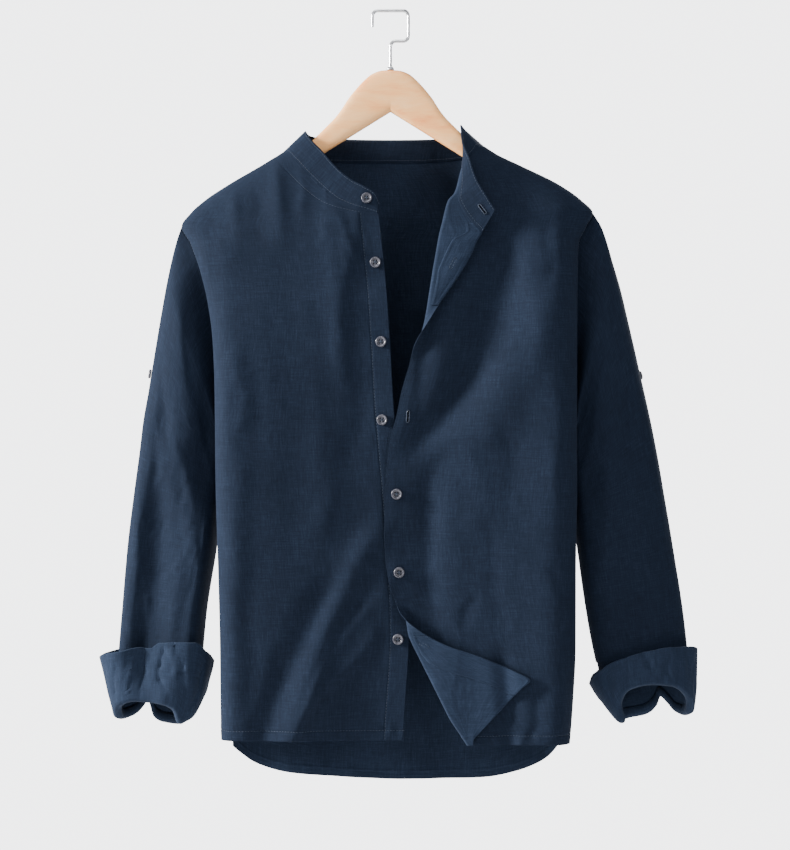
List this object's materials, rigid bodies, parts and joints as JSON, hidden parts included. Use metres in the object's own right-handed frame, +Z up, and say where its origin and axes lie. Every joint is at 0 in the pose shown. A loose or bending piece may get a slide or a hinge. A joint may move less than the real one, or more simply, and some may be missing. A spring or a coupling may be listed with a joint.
{
  "type": "linen shirt on a wooden hanger",
  "caption": "Long-sleeved linen shirt with a band collar, turned-back cuffs and a curved hem, open at the neck, hanging on a flat wooden hanger with a wire hook.",
  "frame": {"origin": "where the hanger's hook rests on its rail, at the middle of the hook's inner top", "axes": "+Z up along the hook, -Y towards the front of the shirt, +X to the right as seen from the front"},
  "size_m": [0.6647, 0.1136, 0.8586],
  "materials": {
    "navy_linen": "matte",
    "navy_linen_inside": "matte",
    "button_plastic": "gloss",
    "maple": "satin",
    "steel": "satin"
  },
  "bodies": {
    "root": {"back": "navy_linen", "button_1": "button_plastic", "button_2": "button_plastic", "button_3": "button_plastic", "button_4": "button_plastic", "button_5": "button_plastic", "button_6": "button_plastic", "button_collar": "button_plastic", "button_sleeve_left": "button_plastic", "button_sleeve_right": "button_plastic", "collar_band": "navy_linen", "cuff_left": "navy_linen_inside", "cuff_right": "navy_linen_inside", "front_left": "navy_linen", "front_right": "navy_linen", "hanger_arm_left": "maple", "hanger_arm_right": "maple", "hanger_ferrule": "steel", "hanger_hook": "steel", "placket_corner": "navy_linen_inside", "placket_lapel": "navy_linen_inside", "sleeve_left": "navy_linen", "sleeve_right": "navy_linen"}
  },
  "joints": []
}
